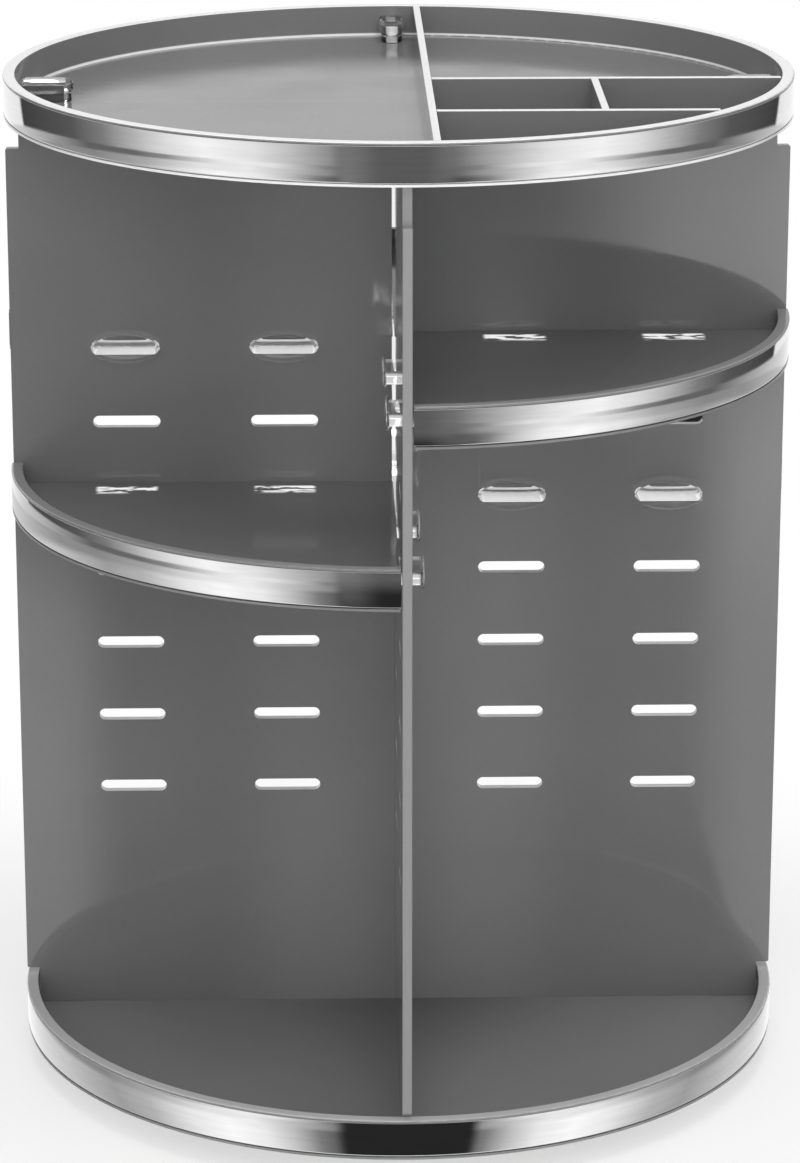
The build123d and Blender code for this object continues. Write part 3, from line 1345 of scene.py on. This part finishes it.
@dataclass
class Palette:
    """All the finishes of the organiser, each made once.

    Attributes:
        rim_thick: thickness of the top tray's rim.
        shelf_rim: height of a shelf's rim above its floor.
        notch_start: distance from the axis at which the panels' plain outer edges begin.
        panel_end: distance by which the panels have ended.
        lip_highlight_grey: painted highlight grey of the top tray's and the dividers' upper faces.
        nodes: finish of each node that keeps its mesh.
        panels: finish of each panel.
        silver: finish of the bands.
        clips: finish of the clips.
    """

    rim_thick: float = 3.5 * MM
    shelf_rim: float = 6.4 * MM
    notch_start: float = 110.0 * MM
    panel_end: float = 130.0 * MM
    lip_highlight_grey: Grey = 0.9
    nodes: dict[str, bpy.types.Material] = field(default_factory=dict)
    panels: dict[str, bpy.types.Material] = field(default_factory=dict)
    silver: bpy.types.Material = field(init=False)
    clips: bpy.types.Material = field(init=False)

    def __post_init__(self) -> None:
        """Makes all the materials."""
        self._trays()
        self._panels()
        self._hardware()

    def _trays(self) -> None:
        """Makes the smoked finishes of the trays, the shelves and the dividers."""
        top_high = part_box("top_tray")[1]
        dividers_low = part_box("main_divider")[0]
        # painted highlights: a light grey on the top tray's and dividers' upper faces, and a light
        # line in the round at the top tray's floor
        lip = PaintedLipLight(top_high.z, self.lip_highlight_grey)
        painted_corner = PaintedCornerLight(top_high.x - self.rim_thick, dividers_low.z, grey=0.8)
        self.nodes["top_tray"] = SmokedAcrylic(
            "smoked_top", roughness=(0.1, 0.18), body=0.215, painted_lights=(lip, painted_corner)).build()
        # the base tray's upper face gets a dimmer painted highlight, and its body a lighter grey
        # than the other pieces, painted light on its shaded floor
        self.nodes["base_tray"] = SmokedAcrylic(
            "smoked_base", body=0.26, painted_lights=(PaintedLipLight(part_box("base_tray")[1].z, 0.55),)).build()
        dividers = SmokedAcrylic("smoked_dividers", painted_lights=(lip,)).build()
        for name in ("main", "cross", "front", "short"):
            self.nodes[name + "_divider"] = dividers
        for quarter in QUARTERS:
            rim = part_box(quarter.name + "_shelf")[1].z
            # shelf rims get a dark painted highlight, as they lie in the top tray's shade; heart is
            # painted light near the axis, contact a painted glow over the clips
            self.nodes[quarter.name + "_shelf"] = SmokedAcrylic(
                "smoked_" + quarter.name, roughness=(0.08, 0.14), body=0.212, painted_axis_light=0.29,
                painted_lights=(PaintedLipLight(rim, 0.32),), painted_clip_glow=PaintedClipGlow(rim - self.shelf_rim)).build()

    def _panels(self) -> None:
        """Makes the smoked finishes of the two panels."""
        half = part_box("cross_panel")[1].y
        for node, across in (("cross_panel", Across.Y), ("fore_aft_panel", Across.X)):
            # painted light and shade on the cut edges: light on the slot edges, lit from behind,
            # darker on the outer edges; heart is painted light near the axis
            lit_slot_edges = PaintedEdgeLight(across, half, start=-MM, end=self.notch_start, grey=0.9)
            shaded_outer_edges = PaintedEdgeLight(across, half, start=self.notch_start, end=self.panel_end,
                              grey=0.29)
            self.panels[node] = SmokedAcrylic("smoked_" + node, body=0.176, painted_axis_light=0.265,
                                              painted_lights=(lit_slot_edges, shaded_outer_edges)).build()

    def _hardware(self) -> None:
        """Makes the finishes of the bands, the clips, the locks and the turntable."""
        metal = (("Metallic", 1.0),)
        self.silver = Plain("silver", roughness=(0.03, 0.07), bump_height=0.001 * MM,
                            bump_scale=60.0, stretch=(1.0, 1.0, 12.0), grey=0.9, spread=0.03,
                            sockets=metal).build()
        # the clips' stems carry a painted glow
        self.clips = ClearPlastic(
            "clear_clips", roughness=(0.01, 0.05), grey=0.95, spread=0.03,
            sockets=(("Transmission Weight", 1.0), ("IOR", 1.25))).build()
        self.nodes["panel_locks"] = Plain(
            "clear_locks", roughness=(0.01, 0.05), grey=0.9, spread=0.03,
            sockets=(("Transmission Weight", 1.0), ("IOR", 1.4))).build()
        black = Plain("black_plastic", roughness=(0.4, 0.6), wear_scale=300.0,
                      bump_height=0.02 * MM, bump_scale=1500.0, grey=0.02, spread=0.2).build()
        white = Plain("white_plastic", roughness=(0.3, 0.45), wear_scale=200.0,
                      bump_height=0.01 * MM, bump_scale=900.0, grey=0.75, spread=0.05).build()
        steel = Plain("steel", roughness=(0.15, 0.3), grey=0.6, spread=0.05,
                      sockets=metal).build()
        rubber = Plain("rubber", roughness=(0.7, 0.9), wear_scale=500.0,
                       bump_height=0.03 * MM, bump_scale=2500.0, grey=0.03, spread=0.2).build()
        self.nodes |= {"foot_plate": black, "turntable_plate": black, "ball_cage": white,
                       "rubber_feet": rubber}
        for name in ("bearing_balls", "pivot_pin", "retaining_washer", "pivot_screw",
                     "plate_screws"):
            self.nodes[name] = steel


def main() -> None:
    """Builds the organiser's looks in order."""
    palette = Palette()
    for node, material in palette.nodes.items():
        dress(node, material)
    bands = Bands()
    clips = Clips()
    for node in ("base_band", "top_band"):
        bands.full(node, "carousel", palette.silver)
    for quarter in QUARTERS:
        bands.quarter(quarter, palette.silver)
        clips.build(quarter, palette.clips)
    panels = Panels()
    for node, material in palette.panels.items():
        panels.build(node, material)
    Stage().build()


if __name__ == "__main__":
    main()
